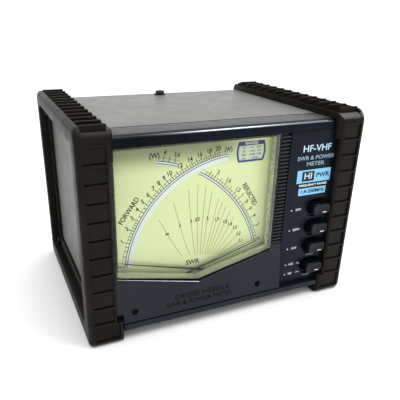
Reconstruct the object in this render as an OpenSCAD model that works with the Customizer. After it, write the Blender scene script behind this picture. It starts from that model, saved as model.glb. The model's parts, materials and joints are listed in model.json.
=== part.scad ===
// Bench-top cross-needle SWR and power meter in a sheet-metal case with moulded side frames.
// Frame: +X to the right as seen from the front, +Y to the rear, +Z up. The origin is at the
// middle of the footprint, on the surface the side frames stand on. Inside the modules, Y is
// counted from the side frames' front face, and placed() moves it into the part's frame.

/* [Overall] */
// Width over the side frames
overall_w = 182; // [180:0.5:184]
// Top of the side frames' smooth border above the case datum
overall_h = 128; // [127.5:0.5:132]
// How far the side frames reach below the case datum
foot_drop = 1.2; // [0:0.1:2]
// Depth of the side frames
frame_d = 137.5; // [137.5:0.5:142]
// How far the rear sockets stand out behind the side frames
socket_overhang = 9; // [8:0.5:12]

/* [Case] */
// Half of the case's width, under the side frames
case_x = 84; // [83.5:0.1:84.5]
// Underside of the case
case_z0 = 6; // [5:0.1:6]
// Top of the case
case_z1 = 122; // [121:0.1:122]
// Sheet metal thickness
sheet = 1.2; // [0.8:0.1:1.2]
// Seam between the bezel and the top cover
seam_y = 26; // [26:0.5:28]
// Rear edge of the top cover
cover_y1 = 132.5; // [131:0.5:132.5]

/* [Side frames] */
// Upper corner radius of the frames seen from the side
frame_corner_r = 8; // [6:0.5:10]
// Lower corner radius of the frames seen from the side
foot_corner_r = 4; // [3.5:0.5:8]
// Softening of the outer edge
frame_edge = 3; // [2:0.5:3]
// Number of raised ribs along the top
rib_count = 13; // [8:1:13]
// Spacing of the top ribs
rib_pitch = 10.1; // [9:0.1:10.1]
// Number of raised grip bars down the front
grip_count = 11; // [6:1:11]
// Spacing of the grip bars
grip_pitch = 10.6; // [8:0.1:10.6]

/* [Meter] */
// Middle of the meter window, left to right
meter_x = -20.4; // [-21:0.1:-20]
// Half width of the window
window_hw = 51.35; // [50:0.05:51.4]
// Top of the window
window_z1 = 115.3; // [112:0.1:116]
// Lower corners of the window
window_corner_z = 40.1; // [39:0.1:42]
// Lowest point of the window's V-shaped bottom edge
window_vertex_z = 28.5; // [28:0.1:30]
// Distance of each needle's pivot from the meter's middle
pivot_dx = 42.15; // [41:0.05:43]
// Height of the pivots
pivot_z = 19.8; // [19.5:0.1:20]
// Length of each needle from its pivot
needle_len = 90; // [80:1:90]
// Angle of a resting needle above the horizontal
needle_rest_deg = 15.5; // [14:0.5:18]
// Sweep of each needle
needle_sweep_deg = 62; // [50:1:62]

/* [Buttons] */
// Centre of the button column, left to right
button_x = 65.6; // [65:0.1:66]
// Heights of the four buttons
button_z = [64.2, 50.2, 36.1, 20.7];
// Width of a cap
cap_w = 12.8; // [11:0.1:13]
// Height of a cap
cap_h = 7.5; // [6:0.1:7.5]
// Travel of a button
button_travel = 3.5; // [2:0.1:3.5]

/* [Rear sockets] */
// Distance of each socket from the middle
socket_dx = 28; // [26:0.5:28]
// Height of the sockets
socket_z = 52; // [50:0.5:54]
// Outer thread radius of a socket
socket_r = 7.94; // [7.9:0.01:8]
// Half of the socket's screw spacing
socket_screw_d = 9.13; // [9:0.01:9.2]

/* [Hidden] */
$fn = 48;
eps = 0.01;
overall_d = frame_d + socket_overhang;
bezel_y = 5.5;
bezel_wall = 2.4;
web_y = 8.6;
web_t = 2;
frame_out_x = overall_w / 2;
frame_lug_x = 70;
frame_top_x = 71;
frame_post_x = 73.5;
frame_case_gap = 0.1;
rib_out_x = 87;
rib_y = [5.5, 134.3];
rib_valley = 2.1;
rib_rise = 3.1;
grip_out_x = 87.5;
grip_z0 = 14.3;
grip_depth = 1;
grip_bar = 1.7;
foot_lip = 3.8;
lug_z1 = 13.2;
brow_z = 110;
lug_round = 2.5;
post_round = 2.7;
brow_round = 5;
flange_x = 86;
open_y = [12, 128];
open_z = [9, 119];
flange_w = 8;
frame_screw_y = [16, 124];
frame_screw_z = [13.5, 114.5];
chassis_x = case_x - sheet - 0.05;
chassis_z1 = 118;
panel_y = 129;
panel_t = 1.5;
tab_x = 79;
tab_z = [24, 100];
lug_z = [34, 90];
trim_x = [32.2, 39];
trim_z0 = 42.3;
deco_x1 = 76.2;
deco_z = [9.3, 115.6];
dial_y = 14.8;
dial_t = 0.6;
base_y = [15.4, 33];
base_hw = 55;
base_z = [9.2, 117];
skirt_y = 10.8;
skirt_flare = 2.9;
window_wall = 1.2;
v_gap = 1;
lip_z0 = 5.4;
base_wall = 2;
pivot_x = [meter_x - pivot_dx, meter_x + pivot_dx];
needle_y = [11.2, 12.4];
needle_t = 0.4;
shaft_r = 0.35;
running = 0.05;
core_r = 4.4;
yoke_r = [6.6, 8.2];
zero_z = pivot_z - 3.3;
zero_pin = 0.8;
button_y1 = 8.6;
bracket_y = 12.6;
switch_y = [13.8, 40];
plunger_w = 4;
plunger_end = 26;
board_z = 18;
board_t = 1.6;
board_x = [-70, 56];
board_y = [46, 120];
standoff_x = [-62, 46];
standoff_y = [52, 114];
coupler_x = 46;
coupler_y = [100, 128.9];
coupler_z = [36, 68];
line_y = 114;
jack_x = 62;
jack_z = 24;
top_screw_y = 126.5;
m3_r = 1.45;

frame_plastic = [0.15, 0.135, 0.12];
navy_plastic = [0.09, 0.10, 0.14];
case_paint = [0.60, 0.60, 0.58];
black_steel = [0.10, 0.10, 0.10];

// ---- shared shapes ----

module placed() translate([0, -overall_d / 2, foot_drop]) children();

// Extrudes an outline drawn as (Y, Z) from x0 to x1
module along_x(x0, x1) translate([x0, 0, 0]) rotate([90, 0, 90]) linear_extrude(x1 - x0) children();

// Extrudes an outline drawn as (X, Z) from y0 to y1
module along_y(y0, y1) translate([0, y1, 0]) rotate([90, 0, 0]) linear_extrude(y1 - y0) children();

module block(x, y, z) translate([x[0], y[0], z[0]]) cube([x[1] - x[0], y[1] - y[0], z[1] - z[0]]);

module rod_y(x, z, y0, y1, r) translate([x, y1, z]) rotate([90, 0, 0]) cylinder(h = y1 - y0, r = r);

module rod_z(x, y, z0, z1, r) translate([x, y, z0]) cylinder(h = z1 - z0, r = r);

module rod_x(y, z, x0, x1, r) translate([x0, y, z]) rotate([0, 90, 0]) cylinder(h = x1 - x0, r = r);

// A rectangle with round corners, its lower left corner at the origin
module round_rect(w, h, r) {
    translate([r, 0]) square([w - 2 * r, h]);
    translate([0, r]) square([w, h - 2 * r]);
    for (x = [r, w - r], y = [r, h - r]) translate([x, y]) circle(r);
}

module centred_round_rect(w, h, r) translate([-w / 2, -h / 2]) round_rect(w, h, r);

module both_sides() {
    children();
    mirror([1, 0, 0]) children();
}

// ---- side frames ----

// Outline of a side frame as (Y, Z), drawn inward by the inset, with tighter corners at its foot
module frame_outline(inset = 0) hull() {
    for (y = [frame_corner_r, frame_d - frame_corner_r])
        translate([y, overall_h - frame_corner_r]) circle(frame_corner_r - inset);
    for (y = [foot_corner_r, frame_d - foot_corner_r])
        translate([y, foot_corner_r - foot_drop]) circle(foot_corner_r - inset);
}

// Treads that rise toward the front and drop at the front edge; the rearmost one is cut short
module rib_profile() for (i = [0 : rib_count - 1]) {
    tread = min(rib_pitch, rib_y[1] - rib_y[0] - i * rib_pitch);
    translate([rib_y[0] + i * rib_pitch, overall_h - rib_valley])
        polygon([[0, -eps], [tread, -eps], [tread, 0.4], [0.8, rib_rise], [0, rib_rise]]);
}

// Level bars that stand up from the recessed front of the post
module grip_profile() for (i = [0 : grip_count - 1]) translate([0, grip_z0 + i * grip_pitch])
    polygon([[grip_depth + eps, -grip_bar], [0.3, 0.2 - grip_bar], [0, 0.6 - grip_bar], [0, -0.6],
        [0.3, -0.2], [grip_depth + eps, 0]]);

module frame_window(y, z, r) translate([y[0], z[0]]) round_rect(y[1] - y[0], z[1] - z[0], r);

// Cuts a post's inner front edge, at x, down to a quarter round
module front_round(x, r, z) translate([x, 0, z[0]]) linear_extrude(z[1] - z[0]) difference() {
    translate([-1, -1]) square([r + 1, r + 1]);
    translate([r, r]) circle(r);
}

module side_frame() difference() {
    union() {
        difference() {
            hull() {
                along_x(frame_lug_x, frame_out_x - frame_edge) frame_outline($fn = 32);
                along_x(frame_out_x - eps, frame_out_x) frame_outline(frame_edge, $fn = 32);
            }
            along_x(frame_lug_x - 1, rib_out_x) translate([-1, overall_h - rib_valley])
                square([rib_y[1] + 1, rib_valley + 1]);
            along_x(frame_lug_x + lug_round, grip_out_x) translate([-1, foot_lip - foot_drop])
                square([1 + grip_depth, grip_z0 - grip_bar - foot_lip + foot_drop]);
            along_x(frame_post_x + 1.8, grip_out_x) translate([-1, grip_z0 - grip_bar - eps])
                square([1 + grip_depth, grip_bar + (grip_count - 1) * grip_pitch + eps]);
        }
        along_x(frame_post_x, rib_out_x + eps) rib_profile();
        along_x(frame_post_x + 1, grip_out_x + eps) grip_profile();
    }
    block([frame_lug_x - 1, case_x + frame_case_gap],
        [bezel_y - 0.6, cover_y1 + frame_case_gap],
        [case_z0 - frame_case_gap, case_z1 + frame_case_gap]);
    block([frame_lug_x - 1, frame_top_x], [-1, frame_d + 1], [lug_z1, overall_h + 1]);
    block([frame_lug_x - 1, frame_post_x], [-1, frame_d + 1], [lug_z1, brow_z]);
    front_round(frame_lug_x, lug_round, [-foot_drop - 1, lug_z1]);
    front_round(frame_post_x, post_round, [lug_z1, brow_z]);
    front_round(frame_top_x, brow_round, [brow_z, overall_h + 1]);
    along_x(flange_x, frame_out_x + 1) frame_window(open_y, open_z, 5);
    along_x(case_x - 1, flange_x + eps) frame_window(
        [open_y[0] + flange_w, open_y[1] - flange_w],
        [open_z[0] + flange_w, open_z[1] - flange_w], 3);
    for (y = frame_screw_y, z = frame_screw_z) rod_x(y, z, case_x - 1, flange_x + 1, 1.6);
}

module right_frame() color(frame_plastic) placed() side_frame();
module left_frame() color(frame_plastic) placed() mirror([1, 0, 0]) side_frame();

module frame_screws() color(black_steel) placed() both_sides()
    for (y = frame_screw_y, z = frame_screw_z) difference() {
        union() {
            rod_x(y, z, flange_x, flange_x + 1.6, 2.7);
            rod_x(y, z, 79, flange_x + eps, m3_r);
        }
        for (a = [0, 90]) translate([flange_x + 1.2, y, z]) rotate([a, 0, 0])
            cube([1.6, 0.6, 3], center = true);
    }

// ---- case ----

module top_cover() color(case_paint) placed() difference() {
    along_y(seam_y, cover_y1) difference() {
        translate([-case_x, case_z0]) square([2 * case_x, case_z1 - case_z0]);
        translate([-case_x + sheet, case_z0 - 1])
            square([2 * (case_x - sheet), case_z1 - case_z0 + 1 - sheet]);
    }
    rod_z(0, top_screw_y, case_z1 - 3, case_z1 + 1, 2.1);
    for (z = frame_screw_z) rod_x(frame_screw_y[1], z, -case_x - 1, case_x + 1, 1.6);
}

module cover_screw() color(black_steel) placed() difference() {
    union() {
        rod_z(0, top_screw_y, case_z1, case_z1 + 0.7, 4.4);
        rod_z(0, top_screw_y, case_z1 + 0.7 - eps, case_z1 + 2.9, 3.4);
        rod_z(0, top_screw_y, case_z1 - 6, case_z1 + eps, 1.9);
    }
    for (a = [0, 90]) translate([0, top_screw_y, case_z1 + 2.6]) rotate([0, 0, a])
        cube([3.6, 0.8, 1.6], center = true);
}

module chassis() color("silver") placed() difference() {
    union() {
        along_y(seam_y, panel_y - 0.1) difference() {
            translate([-chassis_x, case_z0]) square([2 * chassis_x, chassis_z1 - case_z0]);
            translate([-chassis_x + sheet, case_z0 + sheet])
                square([2 * (chassis_x - sheet), chassis_z1]);
        }
        both_sides() for (z = tab_z)
            block([76.5, chassis_x - eps], [seam_y, seam_y + sheet], [z - 4, z + 4]);
    }
    both_sides() for (z = tab_z) rod_y(tab_x, z, seam_y - 1, seam_y + sheet + 1, 1.6);
    for (z = frame_screw_z) rod_x(frame_screw_y[1], z, -case_x, case_x, 1.6);
    for (x = standoff_x, y = standoff_y) rod_z(x, y, case_z0 - 1, case_z0 + sheet + 1, 1.6);
    for (x = [-50, 50]) rod_z(x, 124, case_z0 - 1, case_z0 + sheet + 1, 1.6);
}

module chassis_screws() color("silver") placed() {
    for (x = standoff_x, y = standoff_y) pan_screw_up(x, y, 5.9);
    for (x = [-50, 50]) pan_screw_up(x, 124, 4);
}

// A pan-head screw driven upward through the base plate
module pan_screw_up(x, y, length) difference() {
    union() {
        rod_z(x, y, case_z0 - 1.8, case_z0, 2.8);
        rod_z(x, y, case_z0 - eps, case_z0 + length, m3_r);
    }
    for (a = [0, 90]) translate([x, y, case_z0 - 1.6]) rotate([0, 0, a])
        cube([3.2, 0.7, 1.4], center = true);
}

module rear_panel() color(case_paint) placed() difference() {
    union() {
        block([-chassis_x, chassis_x], [panel_y, panel_y + panel_t],
            [case_z0 + 0.05, case_z1 - sheet - 0.05]);
        block([-40, 40], [120, panel_y + eps], [case_z1 - 2 * sheet - 0.05, case_z1 - sheet - 0.05]);
        block([-60, 60], [120.5, panel_y + eps], [case_z0 + sheet + 0.05, case_z0 + 2 * sheet + 0.05]);
    }
    both_sides() socket_cutout();
    rod_y(jack_x, jack_z, panel_y - 1, panel_y + panel_t + 1, 4.6);
    rod_z(0, top_screw_y, case_z1 - 5, case_z1, 1.9 + running);
    for (x = [-50, 50]) rod_z(x, 124, case_z0, case_z0 + 5, m3_r);
}

module socket_cutout() {
    rod_y(socket_dx, socket_z, panel_y - 1, panel_y + panel_t + 1, 6.2);
    for (x = [-1, 1], z = [-1, 1]) rod_y(socket_dx + x * socket_screw_d, socket_z + z * socket_screw_d,
        panel_y - 1, panel_y + panel_t + 1, 1.6);
}

// ---- bezel and its inlays ----

// Window outline: a rectangle with a V-shaped bottom, drawn inward by the inset; drop lowers the V
// and grow widens the outline along the V's slope
function window_points(inset, drop = 0, grow = 0) = let (
    hw = window_hw + grow,
    corner_z = window_corner_z + grow * (window_corner_z - window_vertex_z) / window_hw - drop
) [
    [meter_x - hw + inset, window_z1 - inset], [meter_x + hw - inset, window_z1 - inset],
    [meter_x + hw - inset, corner_z + 0.8 * inset],
    [meter_x, window_vertex_z - drop + 1.025 * inset],
    [meter_x - hw + inset, corner_z + 0.8 * inset]];

// Side section of the bezel: flat top, sloped brow, upright face, rounded foot
module bezel_section() difference() {
    polygon([[bezel_y, case_z1 - 1.1], [bezel_y + 0.5, case_z1 - 0.5], [bezel_y + 4, case_z1],
        [seam_y - 0.2, case_z1], [seam_y - 0.2, case_z0 + 0.2], [bezel_y + 2, case_z0 + 0.2],
        [bezel_y, case_z0 + 2.2]]);
    translate([bezel_y + bezel_wall, case_z0 + 0.2 + bezel_wall])
        square([30, case_z1 - case_z0 - 0.2 - 2 * bezel_wall]);
}

// Rounded lip along the foot of the face, as (Y, Z) points from its groove down and back
lip_points = [[2.9, 9.2], [1.5, 9.2], [0.9, 7.6], [1, 6], [1.8, lip_z0], [4.4, lip_z0], [5, case_z0 + 0.2],
    [bezel_y + bezel_wall, case_z0 + 0.2]];

// The face below the window leans forward toward its foot, where a groove sets off the lip
module chin_section() polygon(concat([[bezel_y + bezel_wall, 44], [bezel_y + eps, 44], [1.8, 10],
    [2.9, 10]], lip_points));

module foot_section() polygon(concat([[bezel_y + bezel_wall, 9.2]], lip_points));

module bezel() color(navy_plastic) placed() difference() {
    union() {
        difference() {
            along_x(-case_x + 0.2, case_x - 0.2) bezel_section();
            block([-case_x + 0.2 + bezel_wall, case_x - 0.2 - bezel_wall], [bezel_y + bezel_wall, seam_y],
                [case_z0 + 0.2 + bezel_wall, case_z1 - bezel_wall]);
        }
        both_sides() block([case_x - 0.2 - bezel_wall, case_x - 0.2], [bezel_y, seam_y - 0.2],
            [case_z0 + 2.2, case_z1 - 1.5]);
        along_x(-73.3, trim_x[1] + 0.2) chin_section();
        along_x(trim_x[1], frame_lug_x - 0.4) foot_section();
        block([trim_x[0] - 1, deco_x1 + 2], [bezel_y + 1, web_y + web_t], [8, 117]);
        both_sides() for (z = tab_z) rod_y(tab_x, z, bezel_y + 1, seam_y, 2.6);
        for (z = lug_z) {
            rod_y(meter_x - base_hw - 2.5, z, bezel_y + 1, base_y[0], 2.4);
            rod_y(meter_x + base_hw + 2.5, z, bezel_y + 1, base_y[0], 2.4);
        }
        both_sides() for (z = frame_screw_z) rod_x(frame_screw_y[0], z, 77.5, case_x - 1, 2.8);
        for (z = [12.2, 75.2]) rod_y(button_x, z, web_y, bracket_y, 2.5);
    }
    along_y(-1, 12) polygon(window_points(-0.2));
    along_y(-1, bezel_y + 0.9) polygon(window_points(-0.2, v_gap));
    block([trim_x[0], deco_x1], [-1, web_y], [trim_z0, deco_z[1]]);
    block([trim_x[1] + 0.3, deco_x1], [-1, web_y], [deco_z[0], trim_z0 + 1]);
    block([-75, -frame_lug_x + 0.4], [-1, bezel_y - 0.5], [lip_z0 - 1, 16.3]);
    for (x = pivot_x) block([x - 10, x + 10], [6.6, web_y + 5], [case_z0 + 0.2 + bezel_wall, 28.4]);
    for (x = pivot_x) rod_y(x, zero_z, 0, 7, 2.1);
    for (z = button_z) along_y(web_y - 1, web_y + web_t + 1) translate([button_x, z])
        centred_round_rect(cap_w + 0.7, cap_h + 0.7, 3);
    both_sides() for (z = tab_z) rod_y(tab_x, z, 12, seam_y + 1, m3_r);
    for (x = [-1, 1], z = lug_z) rod_y(meter_x + x * (base_hw + 2.5), z, 10, base_y[0] + 1, m3_r);
    both_sides() for (z = frame_screw_z) rod_x(frame_screw_y[0], z, 78.9, case_x + 1, m3_r);
    for (z = [12.2, 75.2]) rod_y(button_x, z, 9.6, bracket_y + 1, m3_r);
}

module pan_screw_y(x, z, y, length) difference() {
    union() {
        rod_y(x, z, y, y + 1.7, 2.4);
        rod_y(x, z, y - length, y + eps, m3_r);
    }
    for (a = [0, 90]) translate([x, y + 1.5, z]) rotate([0, a, 0]) cube([2.8, 1.2, 0.6], center = true);
}

module bezel_screws() color("silver") placed() both_sides()
    for (z = tab_z) pan_screw_y(tab_x, z, seam_y + sheet, 12);

// Upright strip of level fins between the window and the control panel
module ribbed_trim() color([0.16, 0.17, 0.19]) placed() {
    block([trim_x[0] + 0.1, trim_x[1] - 0.1], [7, web_y], [trim_z0 + 0.1, deco_z[1] - 0.1]);
    fin_pitch = (deco_z[1] - trim_z0 - 1) / 31;
    for (i = [0 : 30]) block([trim_x[0] + 0.1, trim_x[1] - 0.1], [5.2, 7 + eps],
        [trim_z0 + 0.6 + i * fin_pitch, trim_z0 + 0.6 + i * fin_pitch + 1.1]);
}

module control_panel() color([0.13, 0.14, 0.18]) placed() difference() {
    block([trim_x[1] + 0.4, deco_x1 - 0.1], [5, web_y], [deco_z[0] + 0.1, deco_z[1] - 0.1]);
    for (z = button_z) translate([button_x, 0, z]) {
        along_y(4, 6.4) centred_round_rect(17.4, 12.4, 5.6);
        along_y(6, web_y + 1) centred_round_rect(15, 9.8, 4.4);
    }
}

// ---- buttons and switches ----

module button_cap(z) color([0.17, 0.18, 0.22]) placed() translate([button_x, 0, z]) difference() {
    union() {
        along_y(0.8, button_y1) centred_round_rect(cap_w, cap_h, 2.6);
        along_y(0, 0.8 + eps) centred_round_rect(cap_w - 1.6, cap_h - 1.6, 1.9);
    }
    block([-plunger_w / 2, plunger_w / 2], [4, button_y1 + 1], [-plunger_w / 2, plunger_w / 2]);
}

module plunger(z) color("ivory") placed() translate([button_x, 0, z])
    block([-plunger_w / 2, plunger_w / 2], [4, plunger_end], [-plunger_w / 2, plunger_w / 2]);

module range_cap_low() button_cap(button_z[0]);
module range_cap_mid() button_cap(button_z[1]);
module range_cap_high() button_cap(button_z[2]);
module mode_cap() button_cap(button_z[3]);
module range_plunger_low() plunger(button_z[0]);
module range_plunger_mid() plunger(button_z[1]);
module range_plunger_high() plunger(button_z[2]);
module mode_plunger() plunger(button_z[3]);

module plunger_slot(z, y0, y1) block([button_x - plunger_w / 2 - 0.4, button_x + plunger_w / 2 + 0.4],
    [y0, y1], [z - plunger_w / 2 - 0.4, z + plunger_w / 2 + 0.4]);

module switch_bodies() color("gainsboro") placed() for (z = button_z) difference() {
    block([60.4, 71.6], switch_y, [z - 4.2, z + 4.2]);
    plunger_slot(z, switch_y[0] - 1, plunger_end + button_travel + 1.5);
}

module switch_bracket() color("silver") placed() difference() {
    block([57, 71.4], [bracket_y, switch_y[0]], [9.6, 78]);
    for (z = button_z) plunger_slot(z, bracket_y - 1, switch_y[0] + 1);
    for (z = [12.2, 75.2]) rod_y(button_x, z, bracket_y - 1, switch_y[0] + 1, 1.6);
}

module switch_board() color("darkgreen") placed() block([71.6, 73.2], [14.2, 62], [10, 74]);

module ribbon_cable() color("lightgray") placed() {
    along_y(50, 62) polygon([[52, 22.6], [53, 22.6], [68, 31], [68, 32], [67, 32], [52, 23.6]]);
    block([49.5, 55.5], [49, 63], [board_z + board_t, 22.6]);
    block([68, 71.6], [49, 63], [28, 35]);
}

// Fasteners of one size: board screws, bracket screws and the meter's mounting screws
module inner_screws() color("silver") placed() {
    for (x = standoff_x, y = standoff_y) difference() {
        union() {
            rod_z(x, y, board_z + board_t, board_z + board_t + 1.7, 2.4);
            rod_z(x, y, 12, board_z + board_t + eps, m3_r);
        }
        for (a = [0, 90]) translate([x, y, board_z + board_t + 1.5]) rotate([0, 0, a])
            cube([2.8, 0.6, 1.2], center = true);
    }
    for (z = [12.2, 75.2]) pan_screw_y(button_x, z, switch_y[0], 4);
    for (x = [-1, 1], z = lug_z) pan_screw_y(meter_x + x * (base_hw + 2.5), z, base_y[0] + 2, 6);
}

// ---- meter ----

// Plan of the window as (X, Y): straight through the bezel, then flared out to meet the dial
module window_plan(wall, y0) polygon([
    [-window_hw + wall, y0], [window_hw - wall, y0], [window_hw - wall, skirt_y],
    [window_hw + skirt_flare - wall, dial_y - 0.1], [window_hw + skirt_flare - wall, dial_y],
    [-window_hw - skirt_flare + wall, dial_y], [-window_hw - skirt_flare + wall, dial_y - 0.1],
    [-window_hw + wall, skirt_y]]);

module window_block(wall, y0) intersection() {
    translate([meter_x, 0, 20]) linear_extrude(window_z1 - wall - 20) window_plan(wall, y0);
    along_y(y0, dial_y) polygon(window_points(wall, 0, skirt_flare + 2));
}

// A clear front with a V-shaped edge and a skirt that is open below, where the lamps shine in
module window() color([0.8, 0.85, 0.8, 0.3]) placed() difference() {
    window_block(0, 5);
    window_block(window_wall, 6.5);
    block([meter_x - 60, meter_x + 60], [10, dial_y + 1], [20, window_corner_z + 4]);
    block([meter_x - 60, meter_x + 60], [dial_y - 0.1, dial_y + 1], [20, window_z1 + 1]);
}

module dial_plate() color([0.85, 0.88, 0.65]) placed() difference() {
    along_y(dial_y, dial_y + dial_t) polygon(window_points(0.3, 6, skirt_flare));
    for (x = [-1, 1]) rod_y(meter_x + x * 38, 34.4, dial_y - 1, dial_y + dial_t + 1, 0.9);
}

module dial_screws() color("silver") placed() for (x = [-1, 1]) {
    rod_y(meter_x + x * 38, 34.4, dial_y - 0.9, dial_y, 1.7);
    rod_y(meter_x + x * 38, 34.4, dial_y - eps, dial_y + 4, 0.85);
}

// Two small lamps under the window's V-shaped edge, aimed up along the dial
module dial_lamps() color("white") placed() for (s = [-1, 1])
    translate([meter_x + s * 36, 0, window_vertex_z + 36 * (window_corner_z - window_vertex_z) / window_hw])
        rotate([0, -s * 12.7, 0]) block([-3, 3], [8.9, 10.2], [-2.6, -0.5]);

module meter_base() color("ivory") placed() difference() {
    union() {
        block([meter_x - base_hw, meter_x + base_hw], base_y, base_z);
        for (x = [-1, 1], z = lug_z) translate([meter_x + x * (base_hw + 2.5), 0, 0])
            block([-2.6, 2.6], [base_y[0], base_y[0] + 2], [z - 4, z + 4]);
        for (x = [-1, 1]) rod_y(meter_x + x * 38, 34.4, base_y[0], base_y[1], 2.6);
    }
    difference() {
        block([meter_x - base_hw + base_wall, meter_x + base_hw - base_wall],
            [base_y[0] - 1, base_y[1] - base_wall], [base_z[0] + base_wall, base_z[1] - base_wall]);
        for (x = [-1, 1]) rod_y(meter_x + x * 38, 34.4, base_y[0] - 2, base_y[1], 2.6);
    }
    for (x = [-1, 1]) rod_y(meter_x + x * 38, 34.4, base_y[0] - 1, base_y[0] + 5, 0.85);
    for (x = [-1, 1], z = lug_z) rod_y(meter_x + x * (base_hw + 2.5), z, base_y[0] - 1, base_y[0] + 3, 1.6);
    for (x = pivot_x) rod_y(x, pivot_z, base_y[1] - base_wall - 1, base_y[1] + 1, 1.5);
}

module at_pivot(side) translate([pivot_x[side], 0, pivot_z]) children();
module at_pivots() for (side = [0, 1]) at_pivot(side) mirror([1 - side, 0, 0]) children();

module yokes() color("dimgray") placed() at_pivots() difference() {
    rod_y(0, 0, 16, base_y[1] - base_wall, yoke_r[1]);
    rod_y(0, 0, 15, base_y[1] - base_wall + 1, yoke_r[0]);
}

module core_magnets() color("slategray") placed() at_pivots() rod_y(0, 0, 17.9, 27.1, core_r);

module core_holders() color("goldenrod") placed() at_pivots() for (s = [-1, 1]) intersection() {
    difference() {
        rod_y(0, 0, 20, 25, yoke_r[0]);
        rod_y(0, 0, 19, 26, core_r);
    }
    block([-0.9, 0.9], [20, 25], [min(0, s * 7), max(0, s * 7)]);
}

module front_bridges() color("goldenrod") placed() at_pivots() rotate([0, -45, 0]) difference() {
    union() {
        block([-8.1, 8.1], [9, 10.2], [-1.9, 1.9]);
        for (s = [-1, 1]) block([s * 7.5 - 0.5, s * 7.5 + 0.5], [10.2 - eps, 16], [-1.2, 1.2]);
    }
    rod_y(0, 0, 8, 11, 1.5);
}

module jewel_screws() color("goldenrod") placed() at_pivots() {
    difference() {
        rod_y(0, 0, 7.7, 10.4, 1.5);
        rod_y(0, 0, 9.4, 11, shaft_r + running);
    }
    difference() {
        rod_y(0, 0, base_y[1] - base_wall - 0.4, base_y[1] + 0.6, 1.5);
        rod_y(0, 0, base_y[1] - base_wall - 1, base_y[1] - 1, shaft_r + running);
    }
}

// Half-turn rings whose centres alternate, so that their ends join into a spiral
module hairsprings() color("goldenrod") placed() at_pivots() for (i = [0 : 5])
    translate([i % 2 == 0 ? 0 : 0.25, 14.4, 0]) rotate([-90, i % 2 == 0 ? 0 : 180, 0])
        rotate_extrude(angle = 180) translate([1.2 + 0.25 * i, 0]) square([0.12, 0.3]);

// The sides of the coil run between the core and the yoke; its turns cross at both ends
module coil(side) color("sienna") placed() at_pivot(side) mirror([1 - side, 0, 0])
    rotate([0, -needle_sweep_deg / 2, 0]) {
        difference() {
            block([-6.1, 6.1], [16.6, 28.4], [-1.5, 1.5]);
            block([-4.9, 4.9], [17.5, 27.5], [-2, 2]);
        }
        rod_y(0, 0, 9.8, 16.6 + eps, shaft_r);
        rod_y(0, 0, 28.4 - eps, 31.6, shaft_r);
    }

// A slim tapered blade with a hub, and a short tail that carries the balance weight
module needle(side) color([0.08, 0.08, 0.08]) placed() at_pivot(side) mirror([1 - side, 0, 0])
    rotate([0, needle_rest_deg, 0]) difference() {
        union() {
            along_y(needle_y[side], needle_y[side] + needle_t)
                polygon([[9, -0.5], [9, 0.5], [0, 0.9], [-needle_len, 0.2], [-needle_len, -0.2], [0, -0.9]]);
            rod_y(0, 0, needle_y[side], needle_y[side] + needle_t, 1.6);
            rod_y(8, 0, needle_y[side] - 0.4, needle_y[side] + needle_t + 0.4, 1.1);
        }
        rod_y(0, 0, needle_y[side] - 1, needle_y[side] + 2, shaft_r);
    }

module reflected_needle() needle(0);
module forward_needle() needle(1);
module reflected_coil() coil(0);
module forward_coil() coil(1);

// Slotted screw behind the bezel's hole, with an off-centre pin at its back
module zero_screw(side) color(black_steel) placed() translate([pivot_x[side], 0, zero_z]) {
    difference() {
        rod_y(0, 0, 3.4, 6.7, 2.1 - running);
        block([-3, 3], [3, 4.3], [-0.35, 0.35]);
    }
    rod_y(0, 0, 6.7 - eps, 7.3, 2.7);
    rod_y(0, -zero_pin, 7.3 - eps, 8.7, 0.5);
}

// Forked lever that the off-centre pin swings about the needle's axis
module zero_lever(side) color("goldenrod") placed() at_pivot(side) difference() {
    union() {
        rod_y(0, 0, 8, 8.7, 2.6);
        block([-1.9, 1.9], [8, 8.7], [-5.8, 0]);
    }
    rod_y(0, 0, 7, 9.5, 1.5 + running);
    block([-0.85, 0.85], [7, 9.5], [-5.2, -2.9]);
}

module reflected_zero_screw() zero_screw(0);
module forward_zero_screw() zero_screw(1);
module reflected_zero_lever() zero_lever(0);
module forward_zero_lever() zero_lever(1);

// ---- electronics ----

module main_board() color("darkgreen") placed() difference() {
    block(board_x, board_y, [board_z, board_z + board_t]);
    for (x = standoff_x, y = standoff_y) rod_z(x, y, board_z - 1, board_z + board_t + 1, 1.6);
}

module board_standoffs() color("gold") placed() for (x = standoff_x, y = standoff_y) difference() {
    rod_z(x, y, case_z0 + sheet, board_z, 3);
    rod_z(x, y, case_z0, board_z + 1, 1.5);
}

module trimmer_pots() color("royalblue") placed() for (i = [0 : 5])
    translate([-50 + 15 * i, 62, board_z + board_t]) difference() {
        union() {
            block([-4.75, 4.75], [-4.75, 4.75], [0, 5]);
            rod_z(0, 0, 5 - eps, 5.6, 2.2);
        }
        translate([0, 0, 5.5]) cube([3.6, 0.6, 0.6], center = true);
    }

module electrolytics() color("black") placed() for (i = [0 : 2])
    rod_z(18 + 12 * i, 86, board_z + board_t, board_z + board_t + 11.5, 4);

module ic_packages() color([0.12, 0.12, 0.12]) placed() for (x = [-45, -18]) {
    block([x - 9.5, x + 9.5], [82.8, 89.2], [board_z + board_t + 0.5, board_z + board_t + 3.9]);
    for (i = [-3 : 3], y = [82, 89.2 - eps]) translate([x + 2.54 * i, y, board_z + board_t])
        block([-0.3, 0.3], [0, 0.8 + eps], [0, 2]);
}

// Leads between the meter, the boards, the coupler and the power inlet
module wiring() color("firebrick") placed() {
    for (x = [-52, -46, -2, 4]) rod_y(x, board_z + board_t + 0.8, base_y[1], board_y[0] + 4, 0.7);
    for (x = [-30, -22, 22, 30]) rod_z(x, 105, board_z + board_t, coupler_z[0], 0.7);
    for (y = [106, 110]) rod_x(y, board_z + board_t + 0.8, 48, jack_x - 5.8, 0.7);
}

// ---- directional coupler ----

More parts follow.
